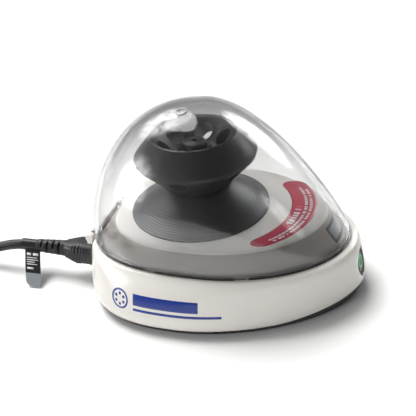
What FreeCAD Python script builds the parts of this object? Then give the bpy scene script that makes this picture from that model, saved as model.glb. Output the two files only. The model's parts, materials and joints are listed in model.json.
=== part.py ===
import FreeCAD, Part
import math
import os

# Bench mini centrifuge: a clear hinged lid over a fixed-angle rotor, on a moulded base.
# Millimetres. +X is the front (power button), -X the rear (lid hinge, mains inlet), +Z is up.
# The origin is the centre of the object's footprint box at table level.

vec = FreeCAD.Vector

# ---- overall sizes ----
body_length = 153.0        # rear wall to nose
body_width = 122.0
total_height = 108.5       # table to the lid's top
rotor_x = -14.0            # rotor axis, measured from the middle of the length

# ---- heights ----
foot_height = 1.5
plate_thickness = 3.0
rim_z = 32.0               # shelf that carries the gasket
deck_z = 46.0              # flat top round the pedestal
wall = 2.5                 # all moulded shells

# ---- outlines: widest station x, rear x, front x, half width, rear and front exponents ----
rear_x = -body_length / 2
front_x = body_length / 2
half_width = body_width / 2
lid_setback = 1.3          # lid's rear edge ahead of the base's rear wall
foot_outline = (rotor_x + 1.0, rear_x, front_x, half_width, 2.7, 1.75)
rim_outline = (-3.0, rear_x + 0.5, front_x - 3.5, half_width - 8.5, 2.6, 2.0)
lid_outline = (-2.0, rear_x + lid_setback, front_x - 7.8, half_width - 10.5, 2.5, 2.0)
deck_outline = (-4.0, rear_x + 16.5, front_x - 20.5, half_width - 15.0, 2.5, 2.0)

# ---- lid ----
gasket_height = 1.3
lid_gap = 0.3              # lid's edge over the gasket
lid_z = rim_z + gasket_height + lid_gap
lid_peak_x = rotor_x + 2.0
lid_rear_bulge = (2.0, 2.0)        # exponents of how each side closes in: near the foot, near the top
lid_front_bulge = (1.05, 1.7)      # almost straight slope, then a round top
lid_side_bulge = (2.0, 2.0)
skirt_gap = 0.9            # lid's inner face to the foot of the deck's skirt
barrel_gap = 0.3           # hinge barrels to the foot of the deck's skirt
shelf_lip = 2.0            # shelf under the skirt's foot
spigot_gap = 0.3
hinge_barrel_r = 2.2
hinge_pin_r = 1.0
hinge_run = 0.05           # radial clearance of the pin in the lid's knuckles
hinge_drop = 1.2           # hinge axis below the lid's edge
hinge_half = 24.0          # half length of the hinge
pocket_gap = 0.5

# ---- rotor and pedestal ----
tube_bore_r = 5.5
tube_count = 6
rim_r = 33.0
rim_top_z = 79.5
mouth_r = 23.5             # lip of the rotor's dish
mouth_z = 91.0
lip_width = 2.0
hub_r = 9.0
neck_r = 17.0
neck_z = 61.2
web = 17.0                 # rotor thickness along a tube
pedestal_r = 38.0
pedestal_top_r = 17.5
pedestal_top_z = 60.3

# ---- motor ----
motor_r = 17.5
motor_wall = 1.2
motor_height = 33.0
shaft_r = 1.6
bearing_run = 0.04
bearing_r = 4.0
bracket_thickness = 2.0

# ---- button, latch, inlet ----
button_r = 6.4
button_travel = 1.0
button_z = 18.5
button_tilt = 12.0         # degrees above level
latch_width = 15.4
latch_height = 5.4
latch_travel = 2.0
latch_z = 38.6
inlet_y = -14.0
inlet_z = 17.0
inlet_width = 17.0
inlet_height = 13.6
flange_lip = 2.0

# ---- cord ----
cord_r = 3.0
coil_x = -205.0
coil_mid_r = 34.0
coil_across = 4            # turns side by side, in two layers
relief_length = 19.5
connector_length = 20.0

plate_top = foot_height + plate_thickness
hinge_x = rear_x + hinge_barrel_r
hinge_z = lid_z - hinge_drop


def save(name, shape):
    shape.exportStep("parts/" + name + ".step")
    print(name, "solids", len(shape.Solids), "volume", round(shape.Volume, 1), "valid", shape.isValid())


def blend(first, second, share):
    return tuple(a + (b - a) * share for a, b in zip(first, second))


def outline_wire(outline, z, inset=0.0, count=56):
    """Closed curve through a superellipse with one reach and exponent behind, another in front."""
    wide_x, rear, front, half, rear_power, front_power = outline
    points = []
    for i in range(count):
        angle = 2 * math.pi * i / count
        c, s = math.cos(angle), math.sin(angle)
        reach = front - wide_x - inset if c >= 0 else wide_x - rear - inset
        power = front_power if c >= 0 else rear_power
        radius = (abs(c / reach) ** power + abs(s / (half - inset)) ** power) ** (-1 / power)
        points.append(vec(wide_x + radius * c, radius * s, z))
    curve = Part.BSplineCurve()
    curve.interpolate(Points=points, PeriodicFlag=True)
    return Part.Wire([curve.toShape()])


def loft(wires):
    return Part.makeLoft(wires, True, False)


def prism(outline, z_low, z_high, inset=0.0):
    return Part.Face(outline_wire(outline, z_low, inset)).extrude(vec(0, 0, z_high - z_low))


def cyl(radius, height, base, axis=(0, 0, 1)):
    return Part.makeCylinder(radius, height, vec(*base), vec(*axis))


def block(x_low, x_high, y_low, y_high, z_low, z_high):
    return Part.makeBox(x_high - x_low, y_high - y_low, z_high - z_low, vec(x_low, y_low, z_low))


def turned(profile, axis_x=rotor_x, axis_y=0.0):
    """Solid of revolution about a vertical axis from (radius, z) corners."""
    points = [vec(axis_x + r, axis_y, z) for r, z in profile]
    face = Part.Face(Part.makePolygon(points + points[:1]))
    return face.revolve(vec(axis_x, axis_y, 0), vec(0, 0, 1), 360)


def group(shapes):
    return Part.makeCompound(shapes)


# ---- base ----
foot_rounding = 1.6
rim_rounding = 1.2
plate_draft = 1.8          # how far the bottom plate narrows downwards


def base_wire(z, inset=0.0):
    rise = (z - plate_top) / (rim_z - plate_top)
    foot_round = foot_rounding * max(0.0, 1 - rise / 0.25) ** 2
    edge_round = rim_rounding * max(0.0, (rise - 0.9) / 0.1) ** 2
    return outline_wire(blend(foot_outline, rim_outline, rise ** 2.2), z, inset + foot_round + edge_round)


base_heights = [plate_top + (rim_z - plate_top) * share for share in (0, 0.1, 0.25, 0.5, 0.72, 0.9, 0.96, 1)]
base_outer = loft([base_wire(z) for z in base_heights])
skirt_inset = max(wall + skirt_gap, 2 * hinge_barrel_r + barrel_gap - lid_setback)
spigot_inset = skirt_inset + shelf_lip + spigot_gap
spigot_wall = 1.6
spigot_depth = 2.0

nose_start_x = front_x - 36.5
nose_rise = 6.0            # degrees; the bottom plate grows thicker towards the nose
below_nose = block(nose_start_x, front_x + 30, -half_width - 20, half_width + 20, -60, plate_top)
below_nose.rotate(vec(nose_start_x, 0, plate_top), vec(0, 1, 0), -nose_rise)

collar_r = button_r + 1.6
press_gap = 0.05
inlet_gap = 0.2
ear_web = 3.0
pin_press_gap = 0.02
pin_recess = 1.0
button_axis = (math.cos(math.radians(button_tilt)), 0, math.sin(math.radians(button_tilt)))
button_face = vec(front_x - 2.3, 0, button_z)


def along_button(depth):
    return tuple(button_face - vec(*button_axis) * depth)


def hinge_rod(radius, y_low, y_high):
    return cyl(radius, y_high - y_low, (hinge_x, y_low, hinge_z), (0, 1, 0))


hinge_pocket = hinge_rod(hinge_barrel_r + pocket_gap, -hinge_half - 0.4, hinge_half + 0.4)
ear_spans = ((-hinge_half, -20.3), (-11.7, 11.7), (20.3, hinge_half))
knuckle_spans = ((-20.0, -12.0), (12.0, 20.0))
pad_places = ((-29.0, 3.3), (21.0, 3.3))        # x and half length of the lid's side rest pads
front_pad_half = 10.0
pad_setback = 0.35


def pad_blocks(extra, z_low, z_high):
    """Boxes over the lid's front and side rest pads, reaching past the lid's edge."""
    blocks = [block(45, front_x, -front_pad_half - extra, front_pad_half + extra, z_low, z_high)]
    for x, half in pad_places:
        for side in (-1, 1):
            y_low, y_high = sorted((side * 30, side * (half_width + 1)))
            blocks.append(block(x - half - extra, x + half + extra, y_low, y_high, z_low, z_high))
    return blocks


inlet_flange_x = rear_x + 1.3
flange_thickness = 1.5
flange_half_y = inlet_width / 2 + flange_lip
flange_half_z = inlet_height / 2 + flange_lip


def inlet_block(x_low, x_high, half_y, half_z):
    return block(x_low, x_high, inlet_y - half_y, inlet_y + half_y, inlet_z - half_z, inlet_z + half_z)


def base_cavity():
    """Inside of the base; its lowest section lies just under the plate's top, so nothing is left there."""
    heights = [z for z in base_heights[1:] if z < rim_z - wall - 0.2] + [rim_z - wall]
    lowest = outline_wire(foot_outline, plate_top - 0.01, wall + foot_rounding)
    return loft([lowest] + [base_wire(z, wall) for z in heights])


def inlet_recess():
    flange = inlet_block(rear_x - 5, inlet_flange_x + flange_thickness,
                         flange_half_y + inlet_gap, flange_half_z + inlet_gap)
    return flange.fuse(inlet_block(rear_x - 5, rear_x + 12, inlet_width / 2 + inlet_gap,
                                   inlet_height / 2 + inlet_gap))


def button_recess():
    """Bore for the collar, opening into a cone-shaped dish."""
    dish = Part.makeCone(collar_r, collar_r + 4.4, 5.0, vec(*along_button(0)), vec(*button_axis))
    return dish.fuse(cyl(collar_r + press_gap, 14, along_button(12), button_axis))


def base_shell():
    shell = base_outer.cut(base_cavity())
    shell = shell.cut(prism(lid_outline, rim_z - wall - 1, rim_z + 1, skirt_inset + shelf_lip))
    pad = inlet_block(inlet_flange_x, inlet_flange_x + flange_thickness + wall,
                      flange_half_y + wall, flange_half_z + 0.6)
    shell = shell.fuse(pad.common(base_outer))
    shell = shell.cut(inlet_recess()).cut(below_nose).cut(hinge_pocket)
    for y_low, y_high in ear_spans:
        ear = hinge_rod(hinge_barrel_r, y_low, y_high)
        web = block(hinge_x - ear_web / 2, hinge_x + ear_web / 2, y_low, y_high, rim_z - wall - 0.5, hinge_z)
        shell = shell.fuse(ear).fuse(web)
    shell = shell.cut(hinge_rod(hinge_pin_r + pin_press_gap, -hinge_half + pin_recess, hinge_half + 5))
    return shell.cut(button_recess())


def bottom_plate():
    plate = loft([outline_wire(foot_outline, foot_height, foot_rounding + plate_draft),
                  outline_wire(foot_outline, plate_top, foot_rounding)])
    nose = base_outer.common(below_nose)
    plate = plate.fuse(nose)
    for x, y in screw_places:
        plate = plate.cut(cyl(screw_head_r + 0.2, 1.8, (x, y, foot_height)))
        plate = plate.cut(cyl(screw_r + 0.2, 20, (x, y, foot_height)))
    for x, y in standoff_places:
        plate = plate.fuse(cyl(standoff_r, board_z - plate_top, (x, y, plate_top)))
    slots = [block(rotor_x - vent_length / 2, rotor_x + vent_length / 2,
                   y - vent_width / 2, y + vent_width / 2, 0, plate_top + 1) for y in vent_rows]
    return plate.cut(group(slots)).removeSplitter()


# ---- screws, feet and boards ----
screw_r = 1.4
screw_head_r = 2.7
screw_head_height = 1.6
screw_length = 14.0
screw_places = [(-49.0, -27.0), (-49.0, 27.0), (34.0, -29.0), (34.0, 29.0)]
post_r = 4.0
foot_r = 6.0
foot_places = [(-54.0, -38.0), (-54.0, 38.0), (44.0, -24.0), (44.0, 24.0)]
vent_rows = [-12.0, -7.2, -2.4, 2.4, 7.2, 12.0]
vent_length = 28.0
vent_width = 1.8
board_z = 11.0
board_thickness = 1.6
board_box = (9.0, 50.0, -22.0, 22.0)
standoff_r = 2.4
standoff_places = [(board_box[0] + 4, -18.0), (board_box[0] + 4, 18.0), (board_box[1] - 4, -18.0),
                   (board_box[1] - 4, 18.0)]


def feet():
    pads = []
    profile = [(0, 0), (foot_r - 0.8, 0), (foot_r, 0.8), (foot_r, foot_height), (0, foot_height)]
    for x, y in foot_places:
        pads.append(turned(profile, x, y))
    return group(pads)


def case_screws():
    screws = []
    for x, y in screw_places:
        head = cyl(screw_head_r, screw_head_height, (x, y, foot_height + 0.2))
        recess = cyl(1.1, 0.8, (x, y, foot_height + 0.2))
        shank = cyl(screw_r, screw_length, (x, y, foot_height + 0.2 + screw_head_height))
        screws.append(head.fuse(shank).cut(recess))
    return group(screws)


def control_board():
    return block(*board_box, board_z, board_z + board_thickness)


def board_parts():
    """Blocks and a can for the board's larger parts, placed from its corner."""
    top = board_z + board_thickness
    x, y = board_box[0], board_box[2]
    transformer = block(x + 6, x + 26, y + 5, y + 23, top, top + 14)
    capacitor = cyl(5.0, 13, (x + 33, y + 12, top))
    relay = block(x + 5, x + 20, y + 29, y + 41, top, top + 10)
    chip = block(x + 25, x + 34, y + 28, y + 35, top, top + 2.2)
    terminal = block(x + 36, x + 40, y + 24, y + 40, top, top + 8)
    return group([transformer, capacitor, relay, chip, terminal])


# ---- deck ----
deck_heights = (0.0, 0.35, 0.7, 0.9, 1.0)
deck_rounding = (0.0, 0.0, 0.0, 0.35, 1.6)


def deck_loft(outward=0.0, top=deck_z):
    """Skirt and deck up to a height; outward grows it evenly, for the bezel and the catch that follow it."""
    wide_x, rear, front, half, rear_power, front_power = lid_outline
    foot = (wide_x, rear + skirt_inset, front - skirt_inset, half - skirt_inset, rear_power, front_power)
    wires = []
    for share, rounding in zip(deck_heights, deck_rounding):
        section = blend(foot, deck_outline, share ** 0.85)
        wires.append(outline_wire(section, rim_z + (top - rim_z) * share, rounding - outward))
    return loft(wires)


latch_gap = 0.3
bezel_width = 1.4
guide_rear_x = front_x - 36.0
motor_opening_r = bearing_r + 6.0


def latch_block(extra_y, extra_z, x_low=guide_rear_x - 0.5, x_high=front_x):
    """Box through the skirt round the catch, grown in width and height."""
    return block(x_low, x_high, -latch_width / 2 - extra_y, latch_width / 2 + extra_y,
                 latch_z - latch_height / 2 - extra_z, latch_z + latch_height / 2 + extra_z)


def deck():
    shell = deck_loft().cut(deck_loft(-wall, deck_z - wall))
    spigot = prism(lid_outline, rim_z - spigot_depth, rim_z, spigot_inset)
    spigot = spigot.cut(prism(lid_outline, rim_z - spigot_depth, rim_z, spigot_inset + spigot_wall))
    shell = shell.fuse(spigot)
    for x, y in screw_places:
        shell = shell.fuse(cyl(post_r, deck_z - wall + 0.2 - plate_top, (x, y, plate_top)))
        shell = shell.cut(cyl(screw_r + 0.02, 16, (x, y, plate_top - 1)))
    shell = shell.cut(cyl(motor_opening_r, 20, (rotor_x, 0, deck_z - 10)))
    shell = shell.cut(latch_block(latch_gap, latch_gap))
    return shell.removeSplitter()


def gasket():
    ring = prism(lid_outline, rim_z, rim_z + gasket_height, 0.7)
    ring = ring.cut(prism(lid_outline, rim_z - 1, rim_z + gasket_height + 1, skirt_inset - 0.3))
    ring = ring.cut(hinge_pocket)
    ring = ring.cut(block(rear_x - 5, hinge_x + 4, -hinge_half - 0.4, hinge_half + 0.4, rim_z - 1, lid_z))
    ring = ring.cut(deck_loft(0.05))
    return ring.cut(group(pad_blocks(0.3, rim_z - 1, lid_z)))


# ---- lid ----
def lid_wire(share, inset):
    """Section of the dome at a share of its height; each side closes in by its own exponents."""
    def closing(bulge):
        return (1 - share ** bulge[0]) ** (1 / bulge[1])
    wide_x, rear, front, half, rear_power, front_power = lid_outline
    rear_at = lid_peak_x - (lid_peak_x - rear - inset) * closing(lid_rear_bulge)
    front_at = lid_peak_x + (front - inset - lid_peak_x) * closing(lid_front_bulge)
    wide_at = lid_peak_x + (wide_x - lid_peak_x) * closing(lid_rear_bulge)
    half_at = (half - inset) * closing(lid_side_bulge)
    section = (wide_at, rear_at, front_at, half_at, rear_power + (2 - rear_power) * share, front_power)
    z = lid_z + (total_height - inset - lid_z) * share
    return outline_wire(section, z)


lid_shares = [math.sin(math.radians(a)) for a in (0, 9, 18, 28, 38, 48, 58, 67, 75, 81, 85.5)]


def dome(inset):
    return loft([lid_wire(share, inset) for share in lid_shares])


def lid():
    shell = dome(0.0).cut(dome(wall))
    rest = prism(lid_outline, rim_z + lid_gap, lid_z + 0.2, pad_setback)
    rest = rest.cut(prism(lid_outline, rim_z, lid_z + 1, wall - pad_setback))
    shell = shell.fuse(rest.common(group(pad_blocks(0.0, rim_z, lid_z + 1))))
    for y_low, y_high in knuckle_spans:
        knuckle = hinge_rod(hinge_barrel_r, y_low, y_high)
        gusset = block(hinge_x - 0.2, hinge_x + 3.2, y_low, y_high, hinge_z, lid_z + 2.0)
        shell = shell.fuse(knuckle).fuse(gusset)
    for y_low, y_high in ear_spans:
        shell = shell.cut(hinge_rod(hinge_barrel_r + 0.45, y_low - 0.3, y_high + 0.3))
    shell = shell.cut(hinge_rod(hinge_pin_r + hinge_run, -hinge_half - 1, hinge_half + 1))
    return shell.removeSplitter()


def hinge_pin():
    return hinge_rod(hinge_pin_r, -hinge_half + 1.0, hinge_half - 0.1)


# ---- pedestal, rotor, motor ----
def pedestal():
    outside = [(0, deck_z), (pedestal_r, deck_z), (pedestal_r, deck_z + 1.2),
               (pedestal_top_r + 1.0, pedestal_top_z - 0.4), (pedestal_top_r, pedestal_top_z),
               (0, pedestal_top_z)]
    inside = [(0, deck_z), (pedestal_r - wall * 1.5, deck_z), (pedestal_top_r - wall, pedestal_top_z - wall),
              (0, pedestal_top_z - wall)]
    return turned(outside).cut(turned(inside)).cut(cyl(shaft_r + 1.0, 30, (rotor_x, 0, deck_z)))


dish_offset = mouth_z - lip_width / 2 - (mouth_r - lip_width)       # z minus radius on the dish's cone
tube_mouth_r = (mouth_r - lip_width + hub_r + 1.0) / 2
tube_mouth_z = tube_mouth_r + dish_offset
under_offset = dish_offset - web * math.sqrt(2)                     # same, on the cone under the rotor


def rotor():
    profile = [(0, neck_z + 6), (neck_r - 4, neck_z + 6), (neck_r - 4, neck_z), (neck_r - 1.2, neck_z),
               (neck_r, neck_z + 1.2), (neck_r, neck_r + under_offset),
               (rim_r - 0.6, rim_r - 0.6 + under_offset), (rim_r, rim_top_z - 0.6),
               (rim_r - 0.6, rim_top_z + 0.3), (mouth_r, mouth_z - 0.8), (mouth_r - 0.7, mouth_z),
               (mouth_r - lip_width, mouth_z - lip_width / 2), (hub_r + 1.0, hub_r + 1.0 + dish_offset),
               (hub_r, hub_r + 1.0 + dish_offset), (hub_r, hub_top_z), (0, hub_top_z)]
    body = turned(profile)
    for i in range(tube_count):
        angle = 2 * math.pi * (i + 0.5) / tube_count
        c, s = math.cos(angle), math.sin(angle)
        start = (rotor_x + (tube_mouth_r - 12) * c, (tube_mouth_r - 12) * s, tube_mouth_z + 12)
        body = body.cut(cyl(tube_bore_r, 60, start, (c, s, -1)))
    return body.cut(cyl(shaft_r, 60, (rotor_x, 0, neck_z - 1)))


hub_top_z = hub_r + 1.0 + dish_offset + 3.0
shaft_top_z = hub_top_z + 2.0
cap_r = 6.5
cap_height = 4.4
flute_count = 18


def rotor_cap():
    """Knurled nut that holds the rotor on its shaft."""
    cap = turned([(0, hub_top_z), (cap_r, hub_top_z), (cap_r, hub_top_z + 3.2),
                  (cap_r - 1.1, hub_top_z + cap_height), (0, hub_top_z + cap_height)])
    cuts = []
    for i in range(flute_count):
        angle = 2 * math.pi * i / flute_count
        x, y = rotor_x + (cap_r + 0.2) * math.cos(angle), (cap_r + 0.2) * math.sin(angle)
        cuts.append(cyl(0.5, 6, (x, y, hub_top_z - 0.5)))
    return cap.cut(group(cuts)).cut(cyl(shaft_r, 10, (rotor_x, 0, hub_top_z - 1)))


motor_top = deck_z - wall - bracket_thickness
motor_low = motor_top - motor_height
endcap_thickness = 2.5
magnet_height = 22.0
air_gap = 0.8
magnet_thickness = 2.85
magnet_outer_r = motor_r - motor_wall - 0.05
magnet_inner_r = magnet_outer_r - magnet_thickness
armature_r = magnet_inner_r - air_gap
bush_length = 3.0
bracket_r = motor_r + 7.0
bracket_screw_ring = motor_r + 3.5
bracket_angles = (45, 135, 225, 315)


def motor_can():
    outer = cyl(motor_r, motor_height, (rotor_x, 0, motor_low))
    inner = cyl(motor_r - motor_wall, motor_height - motor_wall, (rotor_x, 0, motor_low))
    return outer.cut(inner).cut(cyl(bearing_r, 10, (rotor_x, 0, motor_top - 5)))


def motor_endcap():
    cap = cyl(motor_r, endcap_thickness, (rotor_x, 0, motor_low - endcap_thickness))
    return cap.cut(cyl(bearing_r, 10, (rotor_x, 0, motor_low - 5)))


def motor_magnets():
    ring = cyl(magnet_outer_r, magnet_height, (rotor_x, 0, motor_low + 6))
    ring = ring.cut(cyl(magnet_inner_r, magnet_height, (rotor_x, 0, motor_low + 6)))
    gap = block(rotor_x - 30, rotor_x + 30, -4, 4, motor_low, motor_top)
    return ring.cut(gap)


def bearings():
    bushes = []
    for z in (motor_low - endcap_thickness, motor_top - motor_wall):
        bush = cyl(bearing_r, bush_length, (rotor_x, 0, z))
        bushes.append(bush.cut(cyl(shaft_r + bearing_run, 5, (rotor_x, 0, z - 1))))
    return group(bushes)


def armature():
    """Slotted core with a commutator below it."""
    core = cyl(armature_r, 20, (rotor_x, 0, motor_low + 7))
    slots = []
    for i in range(5):
        angle = 360 * i / 5
        slot = block(rotor_x + 8, rotor_x + armature_r + 1, -1.0, 1.0, motor_low + 6, motor_low + 28)
        slot.rotate(vec(rotor_x, 0, 0), vec(0, 0, 1), angle)
        slots.append(slot)
    commutator = cyl(4.2, 5, (rotor_x, 0, motor_low + 2))
    return core.cut(group(slots)).fuse(commutator).cut(cyl(shaft_r, 60, (rotor_x, 0, motor_low)))


def shaft():
    low = motor_low - endcap_thickness - 0.6
    return cyl(shaft_r, shaft_top_z - low, (rotor_x, 0, low))


def bracket():
    plate = cyl(bracket_r, bracket_thickness, (rotor_x, 0, motor_top))
    plate = plate.cut(cyl(bearing_r + 0.3, 10, (rotor_x, 0, motor_top - 3)))
    holes = [cyl(bracket_screw_r + 0.1, 10, (x, y, motor_top - 3)) for x, y in bracket_screw_places]
    return plate.cut(group(holes))


bracket_screw_r = 1.5
bracket_screw_places = [(rotor_x + bracket_screw_ring * math.cos(math.radians(angle)),
                         bracket_screw_ring * math.sin(math.radians(angle))) for angle in bracket_angles]


def bracket_screws():
    screws = []
    for x, y in bracket_screw_places:
        head = cyl(2.6, 1.8, (x, y, motor_top - 1.8))
        screws.append(head.fuse(cyl(bracket_screw_r, bracket_thickness, (x, y, motor_top))))
    return group(screws)


# ---- power button ----
def button():
    cap = cyl(button_r, 5.0, along_button(5.0 + 0.2), button_axis)
    cap = cap.makeFillet(0.8, [e for e in cap.Edges if e.Curve.TypeId == "Part::GeomCircle"
                               and (e.CenterOfMass - vec(*along_button(0.2))).Length < 0.1])
    return cap.fuse(cyl(2.4, 4.0, along_button(9.0), button_axis))


symbol_height = 0.15
symbol_r = 3.6
symbol_line = 0.7


def button_symbol():
    """Ring with a gap and a bar, standing proud of the button's face."""
    outer = cyl(symbol_r, symbol_height, along_button(0.2), button_axis)
    ring = outer.cut(cyl(symbol_r - symbol_line, 1, along_button(0.5), button_axis))
    face = vec(*along_button(0))
    gap = block(-1, 1, -0.9, 0.9, 0, 5)
    gap.rotate(vec(0, 0, 0), vec(0, 1, 0), -button_tilt)
    gap.translate(face)
    bar = block(-0.5, 0.5, -symbol_line / 2, symbol_line / 2, 0.8, symbol_r + 0.4)
    bar.rotate(vec(0, 0, 0), vec(0, 1, 0), -button_tilt)
    bar.translate(face)
    disc = cyl(5, symbol_height, along_button(0.2), button_axis)
    return group([ring.cut(gap), bar.common(disc)])


def button_collar():
    tube = cyl(collar_r, 10.0, along_button(10.0 + 0.15), button_axis)
    return tube.cut(cyl(button_r + 0.25, 20, along_button(15), button_axis))


def switch_body():
    body = cyl(collar_r, 9.0, along_button(19.3), button_axis)
    return body.cut(cyl(2.6, 8.0, along_button(15.5), button_axis))


# ---- latch ----
catch_proud = 0.3


def latch_catch():
    return latch_block(0, 0, guide_rear_x + 6.5).common(deck_loft(catch_proud))


def latch_bezel():
    frame = latch_block(bezel_width, bezel_width).cut(latch_block(latch_gap + 0.05, latch_gap + 0.05))
    return frame.common(deck_loft(0.35)).cut(deck_loft(0.0))


def latch_guide():
    body = latch_block(1.9, 1.3, guide_rear_x, guide_rear_x + 10.5)
    return body.cut(latch_block(latch_gap, latch_gap, guide_rear_x + 3.0, guide_rear_x + 20))


# ---- inlet and mains lead ----
def inlet():
    flange_back = inlet_flange_x + flange_thickness
    body = inlet_block(inlet_flange_x, flange_back, flange_half_y, flange_half_z)
    body = body.fuse(inlet_block(flange_back, inlet_flange_x + 17, inlet_width / 2, inlet_height / 2))
    body = body.cut(inlet_block(inlet_flange_x - 1, inlet_flange_x + 15, inlet_width / 2 - 1.3,
                                inlet_height / 2 - 1.3))
    return body.cut(inlet_pins())


pin_places = ((-4.2, -1.6), (0.0, 2.2), (4.2, -1.6))
pin_r = 1.1


def inlet_pins():
    pins = [cyl(pin_r, 18, (inlet_flange_x + 3, inlet_y + y, inlet_z + z), (1, 0, 0)) for y, z in pin_places]
    return group(pins)


def connector():
    nose = inlet_block(inlet_flange_x, inlet_flange_x + 13, inlet_width / 2 - 1.6, inlet_height / 2 - 1.6)
    for y, z in pin_places:
        nose = nose.cut(cyl(pin_r + 0.1, 12, (inlet_flange_x + 2, inlet_y + y, inlet_z + z), (1, 0, 0)))
    body = loft([rounded_section((connector_face_x - back, inlet_y, inlet_z), half_y, above, below)
                 for back, half_y, above, below in connector_sections])
    return nose.fuse(body).fuse(inlet_block(inlet_flange_x - 0.5, inlet_flange_x + 0.1, 6.5, 5.0))


connector_face_x = inlet_flange_x - 0.3
# Distance behind the flange, half width, height above and below the axis: a waist, then a thumb grip.
connector_sections = ((0.0, 8.6, 6.6, 7.6), (4.0, 8.2, 6.6, 6.4), (8.0, 8.2, 6.6, 6.4),
                      (12.0, 8.0, 6.4, 7.2), (16.0, 6.4, 5.6, 6.0), (connector_length, 4.8, 4.8, 4.8))


def rounded_section(centre, half_y, above, below, power=3.2, count=24):
    """Upright superellipse across the X axis, with its own height above and below the centre."""
    points = []
    for i in range(count):
        angle = 2 * math.pi * i / count
        c, s = math.cos(angle), math.sin(angle)
        half_z = above if s >= 0 else below
        radius = (abs(c / half_y) ** power + abs(s / half_z) ** power) ** (-1 / power)
        points.append(vec(centre[0], centre[1] + radius * c, centre[2] + radius * s))
    curve = Part.BSplineCurve()
    curve.interpolate(Points=points, PeriodicFlag=True)
    return Part.Wire([curve.toShape()])


relief_x = connector_face_x - connector_length


def ribbed_relief(tip_r, root_r, length, ribs):
    """Profile of a ribbed strain relief along its own axis, from its root to its tip."""
    profile = [(0.0, 0.0), (root_r, 0.0)]
    step = length / ribs
    for i in range(ribs):
        radius = root_r + (tip_r - root_r) * i / (ribs - 1)
        at = i * step
        profile += [(radius, at), (radius, at + step * 0.66)] if i else [(radius, step * 0.66)]
        if i < ribs - 1:
            profile += [(radius - 0.8, at + step * 0.7), (radius - 0.8, at + step * 0.96)]
    profile += [(tip_r, length), (0.0, length)]
    return profile


def relief_solid(root, direction, tip_r, root_r, length):
    """Turned strain relief whose axis is level, pointing along +X or -X."""
    points = [vec(root[0] + direction * at, root[1] + r, root[2])
              for r, at in ribbed_relief(tip_r, root_r, length, 5)]
    face = Part.Face(Part.makePolygon(points + points[:1]))
    return face.revolve(vec(*root), vec(1, 0, 0), 360)


def strain_relief():
    return relief_solid((relief_x, inlet_y, inlet_z), -1, cord_r + 0.8, 4.8, relief_length)


cord_start_x = relief_x - relief_length
coil_turn_r = coil_mid_r + (coil_across - 1) * cord_r
# Cord route from the strain relief to the outer turn of the coil, chosen by hand.
route = [(cord_start_x, inlet_y, inlet_z), (-127.0, -14.0, 17.0), (-140.0, -14.3, 14.0),
         (-154.0, -14.8, 9.0), (-168.0, -15.4, 5.2), (-180.0, -15.9, 3.5), (-192.0, -16.15, 3.05),
         (-203.0, -16.2, 3.0)]
coil_y = route[-1][1] - coil_turn_r
tail_z = 3 * cord_r
tail_y = coil_y - coil_turn_r
tail_start_x = coil_x + 8.0
tail_end_x = coil_x + 29.0


def bent_path(points):
    """Straight runs joined by tangent arcs as large as the runs on each side allow."""
    points = [vec(*p) for p in points]
    edges, radii, start = [], [], points[0]
    for before, corner, after in zip(points, points[1:], points[2:]):
        into, out = corner - before, after - corner
        turn = into.getAngle(out)
        radius = 0.45 * min(into.Length, out.Length) / math.tan(turn / 2)
        reach = radius * math.tan(turn / 2)
        into, out = into.normalize(), out.normalize()
        enter, leave = corner - into * reach, corner + out * reach
        middle_dir = (out - into).normalize()
        middle = corner + middle_dir * (radius / math.cos(turn / 2) - radius)
        edges += [Part.LineSegment(start, enter).toShape(), Part.Arc(enter, middle, leave).toShape()]
        radii.append(round(radius, 1))
        start = leave
    edges.append(Part.LineSegment(start, points[-1]).toShape())
    return Part.Wire(edges), radii


def tube(points, name):
    if len(points) == 2:
        path, radii = Part.Wire([Part.LineSegment(vec(*points[0]), vec(*points[1])).toShape()]), []
    else:
        path, radii = bent_path(points)
    heading = vec(*points[1]) - vec(*points[0])
    section = Part.Wire([Part.Circle(vec(*points[0]), heading, cord_r).toShape()])
    solid = path.makePipeShell([section], True, True)
    expected = math.pi * cord_r ** 2 * path.Length
    print(name, "radii", radii, "length", round(path.Length, 1), "volume over section x length",
          round(solid.Volume / expected, 4))
    return solid


def cord_coil():
    """Ring with the outline of the coiled turns, its edges bevelled as the turns' round sides leave it."""
    half, height = coil_across * cord_r, 4 * cord_r
    bevel = 0.6 * cord_r
    inside, outside = coil_mid_r - half, coil_mid_r + half
    profile = [(inside + bevel, 0), (outside - bevel, 0), (outside, bevel), (outside, height - bevel),
               (outside - bevel, height), (inside + bevel, height), (inside, height - bevel),
               (inside, bevel)]
    return turned(profile, coil_x, coil_y)


plug_root_x = tail_end_x + relief_length


def plug_relief():
    return relief_solid((plug_root_x, tail_y, tail_z), -1, cord_r + 0.8, 4.8, relief_length)


plug_length = 26.0


# Distance ahead of the relief, half width and half height.
plug_sections = ((0.0, 5.2, 5.2), (5.0, 8.6, 7.6), (10.0, 10.4, 8.4), (18.0, 11.4, 8.8),
                 (plug_length, 11.8, 8.8))


def mains_plug():
    return loft([rounded_section((plug_root_x + ahead, tail_y, tail_z), half_y, half_z, half_z, 3.0)
                 for ahead, half_y, half_z in plug_sections])


def plug_prongs():
    x = plug_root_x + plug_length
    blades = [block(x, x + 17.5, tail_y + y - 0.75, tail_y + y + 0.75, tail_z - 4.2, tail_z + 2.2)
              for y in (-6.35, 6.35)]
    earth = cyl(2.4, 19.5, (x, tail_y, tail_z + 4.4), (1, 0, 0))
    return group(blades + [earth])


tag_x = cord_start_x - 7.0
tag_width = 10.0
tag_length = 22.0
tag_lean = 48.0            # degrees from upright, so that the leaf's edge rests just over the table


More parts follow.
